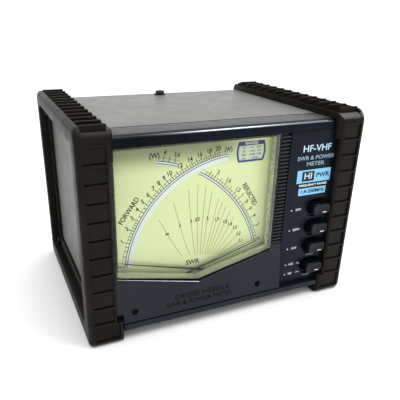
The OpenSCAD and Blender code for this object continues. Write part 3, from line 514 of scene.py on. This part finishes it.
def side_frame(side):
    """The moulded end frame: its inside cut away, ribs and grip bars joined on."""
    name = ("left", "right")[side]
    low, high = node_mm(f"{name}_frame")
    depth, foot = high.y, low.z
    bm = frame_shell(max(abs(low.x), abs(high.x)), depth, foot)
    above, beyond, inner = FRAME_TOP + 2, depth + 1, LUG_X - 1
    grip_high = GRIP_TOP + (GRIP_COUNT - 1) * GRIP_PITCH
    for x, y, z in (((inner, CASE_X), *CASE_ROOM),
                    ((inner, BROW_X), (-1, beyond), (LUG_TOP, above)),
                    ((inner, POST_X), (-1, beyond), (LUG_TOP, BROW_Z)),
                    ((LUG_X + 2.5, GRIP_X), (-1, 1), (foot + 3.8, GRIP_TOP - GRIP_BAR)),
                    ((POST_X + 1.8, GRIP_X), (-1, 1), (GRIP_TOP - GRIP_BAR - 0.1, grip_high))):
        cut = bmesh.new()
        box(cut, x, y, z)
        bm = combine(bm, cut, "DIFFERENCE")
    slot = [(-1, SLOT_STEP[0][1])] + SLOT_STEP + [(SLOT_END, SLOT_FLOOR), (SLOT_END, above), (-1, above)]
    cut = bmesh.new()
    prism_x(cut, slot, inner, SLOT_X)
    bm = combine(bm, cut, "DIFFERENCE")
    for x, r, z in ((LUG_X, 2.5, (foot - 1, LUG_TOP)), (POST_X, 2.7, (LUG_TOP, BROW_Z)),
                    (BROW_X, 5.0, (BROW_Z, above))):
        bm = combine(bm, front_round(x, r, z), "DIFFERENCE")
    grooves, ribs, bars = bmesh.new(), bmesh.new(), bmesh.new()
    for i in range(GRIP_COUNT):
        z = GRIP_TOP + i * GRIP_PITCH
        box(grooves, (POST_X + 1.9, GRIP_X - 0.1), GROOVE, (z, z + 0.8))
        grip(bars, z)
    for i in range(RIB_COUNT):
        rib(ribs, RIB_START + i * RIB_PITCH)
    bm = combine(bm, grooves, "DIFFERENCE")
    bm = combine(bm, ribs, "UNION")
    bm = combine(bm, bars, "UNION")
    if side == 0:
        for v in bm.verts:
            v.co.x = -v.co.x
        bmesh.ops.reverse_faces(bm, faces=bm.faces[:])
    bm.normal_update()
    finishes = [FINISH["frame_plastic"], NOSE_PAINTED_HIGHLIGHT, FLANK_PAINTED_SHADE]
    for f in bm.faces:
        on_step = SLOT_STEP[0][1] - 0.4 < f.calc_center_median().z < SLOT_FLOOR + 0.1
        # Right frame: the step's rounded nose gets a painted highlight
        nose = on_step and f.normal.y < -0.3 and f.normal.z > 0.3
        # Left frame: its outer faces get painted shade
        flank = f.normal.x < -0.9
        f.material_index = int(nose) if side == 1 else 2 * int(flank)
    return piece(bm, f"{name}_side_frame", "case", finishes, [f"{name}_frame"], smooth=40)


# ---------------------------------------------------------------- printing

INK_SINK = 0.01                 # how far ink reaches under its surface
CAPITAL_SHARE = 0.72            # height of a capital in a font of size 1


class Print:
    """Ink lying on a surface: thin closed shapes in one colour, drawn in (u, v) on a plane."""

    def __init__(self, plane, thick=0.04):
        self.bm, self.plane, self.thick = bmesh.new(), plane, thick

    def point(self, u, v, w):
        return self.plane @ Vector((u, v, w))

    def strip(self, left, right):
        """A band between two lines of equally many points."""
        top, low = [[(self.bm.verts.new(self.point(*a, w)), self.bm.verts.new(self.point(*b, w)))
                     for a, b in zip(left, right)] for w in (self.thick, -INK_SINK)]
        new = self.bm.faces.new
        for i in range(len(top) - 1):
            new((top[i][0], top[i][1], top[i + 1][1], top[i + 1][0]))
            new((low[i][0], low[i + 1][0], low[i + 1][1], low[i][1]))
            new((top[i][0], top[i + 1][0], low[i + 1][0], low[i][0]))
            new((top[i][1], low[i][1], low[i + 1][1], top[i + 1][1]))
        new((top[0][0], low[0][0], low[0][1], top[0][1]))
        new((top[-1][0], top[-1][1], low[-1][1], low[-1][0]))

    def line(self, points, width):
        left, right = [], []
        for i, p in enumerate(points):
            a, b = Vector(points[max(0, i - 1)]), Vector(points[min(len(points) - 1, i + 1)])
            n = (b - a).normalized().orthogonal() * width / 2
            left.append(tuple(Vector(p) + n))
            right.append(tuple(Vector(p) - n))
        self.strip(left, right)

    def area(self, u0, u1, v0, v1):
        self.strip([(u0, v0), (u0, v1)], [(u1, v0), (u1, v1)])

    def dot(self, u, v, r):
        sides = 16
        ring = [(u + r * math.cos(2 * math.pi * i / sides), v + r * math.sin(2 * math.pi * i / sides))
                for i in range(sides)]
        loft(self.bm, [[self.point(*p, w) for p in ring] for w in (-INK_SINK, self.thick)])

    def text(self, words, u, v, size, turn=0.0, width=1.0, bold=0.0, span=None):
        """Words centred on (u, v), with capitals about size high, as wide as span if it is given."""
        curve = bpy.data.curves.new("words", "FONT")
        curve.body, curve.size, curve.offset = words, size / CAPITAL_SHARE, bold
        curve.extrude = (self.thick + INK_SINK) / 2
        curve.align_x, curve.align_y, curve.resolution_u = "CENTER", "CENTER", 3
        holder = bpy.data.objects.new("words", curve)
        bpy.context.scene.collection.objects.link(holder)
        mesh = holder.evaluated_get(bpy.context.evaluated_depsgraph_get()).to_mesh()
        if span:
            across = [v.co.x for v in mesh.vertices]
            width = span / (max(across) - min(across))
        place = (self.plane @ Matrix.Translation((u, v, (self.thick - INK_SINK) / 2))
                 @ Matrix.Rotation(math.radians(turn), 4, "Z") @ Matrix.Diagonal((width, 1, 1, 1)))
        known = len(self.bm.verts)
        self.bm.from_mesh(mesh)
        self.bm.verts.ensure_lookup_table()
        for k in range(known, len(self.bm.verts)):
            self.bm.verts[k].co = place @ self.bm.verts[k].co
        bpy.data.objects.remove(holder)
        bpy.data.curves.remove(curve)

    def done(self, name, ink, slot, body="case"):
        bmesh.ops.remove_doubles(self.bm, verts=self.bm.verts[:], dist=0.0005)
        bmesh.ops.recalc_face_normals(self.bm, faces=self.bm.faces[:])
        return piece(self.bm, name, body, [INK[ink]], smooth=20)


def upright(y, lean=0.0, x=0.0, z=0.0):
    """A plane facing the viewer at depth y: u runs right, v up. lean tips its top back."""
    s, c = math.sin(lean), math.cos(lean)
    return Matrix.Translation((x, y, z)) @ Matrix(((1, 0, 0, 0), (0, s, -c, 0), (0, c, s, 0), (0, 0, 0, 1)))


# ---------------------------------------------------------------- dial

V_X = -20.4                                         # middle of the window's V-shaped lower edge
FORWARD, REFLECTED = -1, 1                          # side of its pivot that each needle rests on
MAGNET_LOW, MAGNET_HIGH = node_mm("core_magnets")
MAGNET_R = (MAGNET_HIGH.z - MAGNET_LOW.z) / 2
PIVOT_Z = (MAGNET_HIGH.z + MAGNET_LOW.z) / 2
PIVOTS = {FORWARD: Vector((MAGNET_HIGH.x - MAGNET_R, PIVOT_Z)),
          REFLECTED: Vector((MAGNET_LOW.x + MAGNET_R, PIVOT_Z))}
# Centre and radius of each printed arc
ARCS = {FORWARD: (PIVOTS[FORWARD] + Vector((-15.0, 12.6)), 70.8),
        REFLECTED: (PIVOTS[REFLECTED] + Vector((4.6, 0.0)), 84.8)}
ZERO = {FORWARD: 13.6, REFLECTED: 14.5}             # where the scales start, in degrees
FULL_POWER = 20
ARC_HALF, ARC_GAP = 0.90, 0.42                      # half widths of a double arc and the gap in it
SCALE_LINE = (2.55, 2.72)                           # thin line through the ticks
PALE_BAND = 3.6
TICK_SHORT, TICK_LONG, TICK_WIDTH = 2.7, 4.3, 0.38
FORWARD_NUMBERS = [*range(1, 11), *range(12, 21, 2)]
REFLECTED_NUMBERS = ((0.2, ".2"), (0.4, ".4"), (0.6, ".6"), (0.8, ".8"), (1, "1"), (1.2, "1.2"),
                     (1.6, "1.6"), (2, "2"), (3.6, "3.6"), (4, "4"))
SWR_FULL, SWR_STEPS, SWR_START_POWER = 99, 240, 0.3     # 99 stands for a fully reflected wave
SWR_LINES = (SWR_FULL, 5, 3, 2.5, 2.2, 2, 1.8, 1.7, 1.6, 1.5, 1.4, 1.3, 1.2, 1.1)
SWR_NUMBERS = {SWR_FULL: "∞", 5: "5", 3: "3", 2.5: "2.5", 2: "2", 1.7: "1.7", 1.5: "1.5",
               1.4: "1.4", 1.3: "1.3", 1.2: "1.2", 1.1: "1.1"}
NUMBER_HUB, NUMBER_REACH = Vector((-16, 27)), 37.2      # the numbers lie on a circle about the hub
TABLE = Vector((17.5, 104.2))
TABLE_HALF_WIDTH, TABLE_BULGE, TABLE_HALF_HEIGHT = 8.4, 1.1, 6.0
TABLE_ROWS = (("W", "x1      x0.2"), ("20", "x10      x2"), ("200", "x100    x20"), ("2k", "x1000"))
TABLE_ROW_PITCH, TABLE_CELL_HALF = 2.25, 0.85


def ray(side, degrees, extra=0.0):
    """The point where a needle at this angle crosses its arc, moved outward by extra."""
    centre, r = ARCS[side]
    d = Vector((side * math.cos(math.radians(degrees)), math.sin(math.radians(degrees))))
    m = PIVOTS[side] - centre
    b = m.dot(d)
    reach = -b + math.sqrt(b * b - m.length_squared + r * r)
    return tuple(PIVOTS[side] + d * (reach + extra))


def forward_angle(p):
    """The needle's angle at power p, in degrees."""
    return ZERO[FORWARD] + 59.35 * (p / FULL_POWER) ** 0.6


def reflected_angle(p):
    """The needle's angle at power p, in degrees; the separate top stretch lies a little lower."""
    return ZERO[REFLECTED] + 23.2 * p ** 0.76 - 1.15 * p - (1.6 if p > 3 else 0)


def arc(pen, side, start, end, inner, outer):
    steps = [start + (end - start) * i / 60 for i in range(61)]
    pen.strip([ray(side, a, inner) for a in steps], [ray(side, a, outer) for a in steps])


def ticks(pen, side, angle_of, values, start, end, per_long):
    """Ticks between two angles; those at every per_long-th part of a unit are long."""
    for value in values:
        a = angle_of(value)
        if start - 0.1 <= a <= end:
            longer = abs(value * per_long - round(value * per_long)) < 1e-6
            reach = TICK_LONG if longer else TICK_SHORT
            pen.line([ray(side, a, r) for r in (ARC_HALF, reach)], TICK_WIDTH)


def print_scales(black, blue, white):
    for side, start, end in ((FORWARD, ZERO[FORWARD], 76.5), (REFLECTED, ZERO[REFLECTED], 58.5),
                             (REFLECTED, 68.5, 77.0)):
        arc(blue, side, start, end, -ARC_HALF, -ARC_GAP)
        arc(blue, side, start, end, ARC_GAP, ARC_HALF)
        arc(white, side, start, end, -ARC_GAP, ARC_GAP)
        arc(black, side, start, end, *SCALE_LINE)
    arc(white, FORWARD, ZERO[FORWARD], 76.0, -PALE_BAND, -ARC_HALF)

    quarters, halves = [0.25 * i for i in range(0, 12)], [0.5 * i for i in range(6, 41)]
    ticks(black, FORWARD, forward_angle, quarters + halves, 13, 76, 1)
    fine, tenths = [0.05 * i for i in range(0, 16)], [0.1 * i for i in range(8, 24)]
    ticks(black, REFLECTED, reflected_angle, fine + tenths, 14, 58, 5)
    ticks(black, REFLECTED, reflected_angle, [3.4, 3.6, 3.8, 4.0], 69, 78, 5)
    for p in FORWARD_NUMBERS:
        a = forward_angle(p)
        black.text(str(p), *ray(FORWARD, a, 5.6), 2.8, (90 - a) * 0.45, 0.9, 0.09)
    for p, words in REFLECTED_NUMBERS:
        a = reflected_angle(p)
        black.text(words, *ray(REFLECTED, a, 5.9), 2.6, (a - 90) * 0.5, 0.85, 0.09)
    black.text("(W)", *ray(FORWARD, 77.0, 3.6), 2.9, 0, 0.8, 0.08)
    black.text("(W)", *ray(REFLECTED, 78.6, 3.4), 3.1, 0, 0.9, 0.10)
    black.text("0", *ray(FORWARD, ZERO[FORWARD], 4.2), 2.0)
    black.text("0", *ray(REFLECTED, ZERO[REFLECTED], 4.4), 2.0)
    black.text("FORWARD", *ray(FORWARD, 34.4, 9.6), 3.1, 53, 0.86, 0.10)
    black.text("REFLECTED", *ray(REFLECTED, 34.6, 10.0), 3.2, -58, 0.80, 0.10)
    black.text("SWR", -20.2, 35.2, 3.3, 0, 0.95, 0.10)
    black.line([(-68.0, 43.9), (V_X, 30.1), (28.0, 44.2)], 0.32)


def swr_path(swr):
    """Where the needles cross at this SWR as the power rises, kept clear of the arcs."""
    share = ((swr - 1) / (swr + 1)) ** 2 if swr < SWR_FULL else 1.0
    forward, reflected = PIVOTS[FORWARD], PIVOTS[REFLECTED]
    path = []
    for i in range(SWR_STEPS):
        p = SWR_START_POWER * (FULL_POWER / SWR_START_POWER) ** (i / (SWR_STEPS - 1))
        q = share * p
        a = math.radians(16.0 + 56.2 * (p / FULL_POWER) ** 0.566)
        b = math.radians(14.9 + 35.0 * q ** 0.771 - 11.12 * q)
        reach = (forward.x - reflected.x) * math.sin(b) / math.sin(a + b)
        here = forward + Vector((-math.cos(a), math.sin(a))) * reach
        spread = (here - forward).length + (here - reflected).length
        if (spread > 94.5 - 3 / swr and (here - ARCS[FORWARD][0]).length < 61
                and (here - ARCS[REFLECTED][0]).length < 79):
            path.append(tuple(here))
    return path


def print_swr_lines(face, black):
    fan = Print(face)
    for swr in SWR_LINES:
        path = swr_path(swr)
        if len(path) > 4:
            fan.line(path[::4] + [path[-1]], 0.27)
            if swr in SWR_NUMBERS:
                u, v = min(path, key=lambda q: abs((Vector(q) - NUMBER_HUB).length - NUMBER_REACH))
                black.text(SWR_NUMBERS[swr], u, v, 2.3, -12 if swr < 1.8 else 0, 0.85, 0.10)
    fan.done("dial_swr_lines", "salmon", "dial_print")


def print_range_table(face, blue):
    """The small table in its barrel-shaped frame."""
    for side in (-1, 1):
        blue.line([(TABLE.x + side * (TABLE_HALF_WIDTH + TABLE_BULGE * math.cos(t * math.pi / 2)),
                    TABLE.y + TABLE_HALF_HEIGHT * t) for t in [i / 6 - 1 for i in range(13)]], 1.3)
    for z, w in ((4.9, 2.6), (-6.0, 1.3)):
        blue.line([(TABLE.x - 8.5, TABLE.y + z), (TABLE.x + 8.5, TABLE.y + z)], w)
    head = Print(face, 0.06)
    head.text("RANGE", TABLE.x, TABLE.y + 4.9, 1.7, 0, 1.15, 0.02)
    head.done("dial_table_heading", "white", "dial_print")
    cells, grey = Print(face, 0.02), Print(face, 0.06)
    for row, (label, factors) in enumerate(TABLE_ROWS):
        z = TABLE.y + 2.3 - TABLE_ROW_PITCH * row
        for left, right in ((-7.6, -2.5), (-1.9, 7.6)):
            cells.area(TABLE.x + left, TABLE.x + right, z - TABLE_CELL_HALF, z + TABLE_CELL_HALF)
        grey.text(label, TABLE.x - 5.2, z, 1.3, 0, 0.95, 0.02)
        grey.text(factors, TABLE.x + 3, z, 1.3, 0, 0.9, 0.02)
    cells.done("dial_table_cells", "cell", "dial_print")
    grey.done("dial_table_words", "grey", "dial_print")


def make_dial():
    """The printed scales, worked out from the two needles' pivots."""
    face = upright(node_mm("dial_plate")[0].y)
    black, blue, white = Print(face), Print(face), Print(face, 0.02)
    print_scales(black, blue, white)
    print_swr_lines(face, black)
    print_range_table(face, blue)
    black.done("dial_scale_marks", "black", "dial_print")
    blue.done("dial_arcs", "blue", "dial_print")
    white.done("dial_light_bands", "white", "dial_print")


# ---------------------------------------------------------------- front panel

SEAM_DEPTH, SEAM_DROP = 1.1, 1.6                    # groove where the bezel's top meets the cover
BROW_EDGE_Y, BROW_EDGE_Z = 7, 120                   # the brow's front edges lie before and above these
BROW_FACE_Z, BROW_TOP_Y = 110, 9.3                  # the brow's front begins and its slope ends here
V_EDGE_Z = (26, 46)                                 # the window's V-shaped lower edge lies between
CHIN_RISE, CHIN_LEAN, CHIN_START_Z = 34, 3.71, 10   # the chin leans back by CHIN_LEAN over its rise
BULLET_X, BULLET_R = 45.0, 0.42
RANGE_LABELS = ((64.3, "20W"), (50.0, "200W"), (36.3, "2kW"))
MODE_LABELS = ((24.2, "AVG"), (16.8, "PEP"))
AVERAGE_SIGN = [(53.8, 23.4), (54.6, 24.8), (55.6, 23.6), (56.4, 23.6)]
PEAK_SIGN = [(53.8, 16.4), (54.8, 17.2), (56.0, 17.2), (56.8, 16.4)]
CAPS = (("range_cap_low", "range_button_a", "range_button_low"),
        ("range_cap_mid", "range_button_b", "range_button_mid"),
        ("range_cap_high", "range_button_c", "range_button_high"),
        ("mode_cap", "mode_button_d", "mode_button"))


def make_bezel():
    bm = from_cad("bezel")
    low, high = node_mm("bezel")
    seam = bmesh.new()
    box(seam, (low.x - 1, high.x + 1), (high.y - SEAM_DEPTH, high.y + 1), (high.z - SEAM_DROP, high.z + 1))
    bm = combine(bm, seam, "DIFFERENCE")
    bmesh.ops.bisect_plane(bm, geom=bm.verts[:] + bm.edges[:] + bm.faces[:], dist=0.001,
                           plane_co=(0, 0, node_mm("window")[1].z), plane_no=(0, 0, 1))
    soften(bm, 0.25, 2, lambda c: c.z > BROW_EDGE_Z and (c.y < BROW_EDGE_Y or c.y > high.y - 0.1), angle=20)
    soften(bm, 0.6, 3, lambda c: 5.2 > c.y > 3.0 and V_EDGE_Z[0] < c.z < V_EDGE_Z[1] and abs(c.x) < 75)
    finishes = [FINISH["bezel_plastic"], BROW_PAINTED_REFLECTION, EDGE_PAINTED_HIGHLIGHT, BROW_PAINTED_SHADE, CHIN_PAINTED_HIGHLIGHT]
    for f in bm.faces:
        c, n = f.calc_center_median(), f.normal
        kind = finishes[0]
        # The bezel's flat top behind the brow: painted reflection
        if c.z > high.z - 0.3 and c.y > BROW_TOP_Y:
            kind = BROW_PAINTED_REFLECTION
        # The seam groove: painted shadow
        elif c.z > high.z - SEAM_DROP - 0.1 and c.y > high.y - SEAM_DEPTH - 0.2:
            kind = BROW_PAINTED_SHADE
        # The rounded top front edge: painted highlight
        elif high.z - 1.6 < c.z < high.z - 0.45 and c.y < 6.2:
            kind = EDGE_PAINTED_HIGHLIGHT
        # The brow's front and its slope: painted shade
        elif c.z > BROW_FACE_Z and c.y < BROW_TOP_Y + 0.2:
            kind = BROW_PAINTED_SHADE
        # The bevel's up-facing faces left of the V: painted highlight
        elif V_EDGE_Z[0] < c.z < V_EDGE_Z[1] and c.y < 6 and c.x < V_X and n.z > 0.3 and n.y < -0.3:
            kind = CHIN_PAINTED_HIGHLIGHT
        f.material_index = finishes.index(kind)
    piece(bm, "front_bezel", "case", finishes, ["bezel"])


def make_panel():
    bm = from_cad("ribbed_trim")
    soften(bm, 0.2, 2)
    piece(bm, "fin_strip", "case", [FINISH["trim_plastic"]], ["ribbed_trim"])
    bm = from_cad("control_panel")
    soften(bm, 0.3, 3, lambda c: c.y < 6.6)
    piece(bm, "button_panel", "case", [FINISH["panel_plastic"]], ["control_panel"])
    for node, name, body in CAPS:
        cap(node, name, body)


def print_panel():
    """Title, band labels, bullets and captions; each colour is a piece."""
    face = upright(node_mm("control_panel")[0].y)
    title, bands, band_words, marks = Print(face), Print(face), Print(face, 0.06), Print(face)
    subtitle, light_words, captions = Print(face), Print(face, 0.08), Print(face)
    title.text("HF-VHF", 59.5, 104.6, 4.3, bold=0.06, span=21.3)
    subtitle.text("SWR & POWER", 59.3, 98.6, 2.6, bold=0.04, span=28.4)
    subtitle.text("METER", 59.4, 94.6, 2.6, bold=0.04, span=13.6)
    bands.area(46.4, 72.4, 82.4, 90.9)
    band_words.area(50.2, 59.6, 83.4, 89.9)
    light_words.text("HI", 54.9, 86.6, 4.2, 0, 1.15, 0.08)
    band_words.text("PWR", 66.2, 86.6, 3.2, bold=0.12, span=10.4)
    marks.text("FREQUENCY RANGE", 59.5, 80.6, 1.4, bold=0.03, span=21.5)
    bands.area(48.7, 70.0, 73.9, 78.7)
    band_words.text("1.8-200MHz", 59.4, 76.3, 2.4, bold=0.10, span=18.5)
    for labels, x, width in ((RANGE_LABELS, 50.2, 0.95), (MODE_LABELS, 49.2, 0.9)):
        for z, words in labels:
            marks.dot(BULLET_X, z, BULLET_R)
            marks.text(words, x, z, 1.6, 0, width)
    marks.line(AVERAGE_SIGN, 0.25)
    marks.line(PEAK_SIGN, 0.25)
    captions.text("RANGE", 64.2, 29.2, 1.3)
    captions.text("POWER", 63.0, 13.3, 1.3)
    subtitle.done("panel_subtitle", "steel", "panel_plastic")
    captions.done("panel_captions", "steel", "panel_plastic")
    title.done("panel_title", "pale", "panel_plastic")
    bands.done("panel_bands", "cyan", "panel_plastic")
    band_words.done("panel_band_words", "black", "panel_plastic")
    light_words.done("panel_band_light_words", "pale", "panel_plastic")
    marks.done("panel_marks", "white", "panel_plastic")


def mould_chin_words():
    raised = Print(upright(1.8, math.atan2(CHIN_LEAN, CHIN_RISE), 0, CHIN_START_Z), 0.1)
    raised.text("CROSS NEEDLE", -18.2, 9.7, 3.0, span=37.6)
    raised.text("SWR & POWER METER", -20.0, 5.2, 3.0, span=45.1)
    # The raised words are darker than the bezel: painted shade
    raised.done("raised_words", "navy", "bezel_plastic")


def cap(node, name, body):
    """A push-button cap with a rounded rim, a shallow dish and a light tick on its face."""
    low, high = node_mm(node)
    x, z = (low.x + high.x) / 2, (low.z + high.z) / 2
    w, h = (high.x - low.x) / 2, (high.z - low.z) / 2
    corner, rim = 2.4, 1.0

    def ring(y, inset):
        return [(x + a, y, z + b) for a, b in rounded(-w + inset, w - inset, -h + inset, h - inset,
                                                      max(corner - inset, 0.5), steps=5)]

    rings = [ring(high.y, 0), ring(low.y + rim, 0)]
    rings += [ring(low.y + rim - rim * math.sin(t), 0.9 * (1 - math.cos(t)))
              for t in [math.radians(18 * i) for i in range(1, 6)]]
    rings += [ring(low.y, 1.2), ring(low.y + 0.12, 1.5), ring(low.y + 0.2, 1.9)]
    bm = bmesh.new()
    loft(bm, rings)
    socket = bmesh.new()
    box(socket, (x - 2.0, x + 2.0), (4.0, high.y + 1), (z - 2.0, z + 2.0))
    bm = combine(bm, socket, "DIFFERENCE")
    piece(bm, name, body, [FINISH["cap_plastic"]], [node])
    tick = Print(upright(low.y + 0.02, 0, x, z), 0.05)
    tick.area(0.8, 3.7, -2.3, -1.85)
    tick.done(f"{name}_tick", "white", "cap_plastic", body)


def make_window():
    """The clear window; its side walls are frosted and its lower walls brighter than its pane."""
    bm = from_cad("window")
    front = min(v.co.y for v in bm.verts)
    pane = 1.6
    soften(bm, 0.3, 2, lambda c: c.y < front + 0.1)
    finishes = [FINISH["clear_plastic"], CLEAR_EDGE, FROSTED]
    for f in bm.faces:
        wall = FROSTED if abs(f.normal.x) > 0.7 else CLEAR_EDGE
        f.material_index = finishes.index(wall) if f.calc_center_median().y > front + pane else 0
    piece(bm, "meter_window", "case", finishes, ["window"])


# ---------------------------------------------------------------- case and its screws

def make_case():
    bm = from_cad("top_cover")
    front = node_mm("top_cover")[0].y
    soften(bm, 0.25, 2, lambda c: c.y > front + 1 and (c.z > 121.5 or abs(c.x) > 83.5))
    finishes = [FINISH["case_paint"], SIDE_PAINTED_SHADE, BROW_PAINTED_SHADE]
    for f in bm.faces:
        # The cover's front edge in the seam with the bezel: painted shadow
        edge = f.normal.y < -0.9 and f.calc_center_median().y < front + 0.1
        # Side faces take the painted-shade copy of the paint
        f.material_index = 2 if edge else int(abs(f.normal.x) > 0.7)
    piece(bm, "grey_cover", "case", finishes, ["top_cover"])
    for node, name in (("cover_screw", "cover_screw_head"), ("frame_screws", "frame_screw_heads")):
        bm = from_cad(node)
        soften(bm, 0.18, 2)
        piece(bm, name, "case", [FINISH["black_steel"]], [node])


# ---------------------------------------------------------------- assembly

make_camera()
make_stage()
for part in frame["record"]["subparts"]:
    for holder in NODES[part["node"]].material_slots:
        holder.material = FINISH[part["material_slot"]]
for side in (0, 1):
    side_frame(side)
make_bezel()
make_panel()
print_panel()
mould_chin_words()
make_window()
make_dial()
make_case()
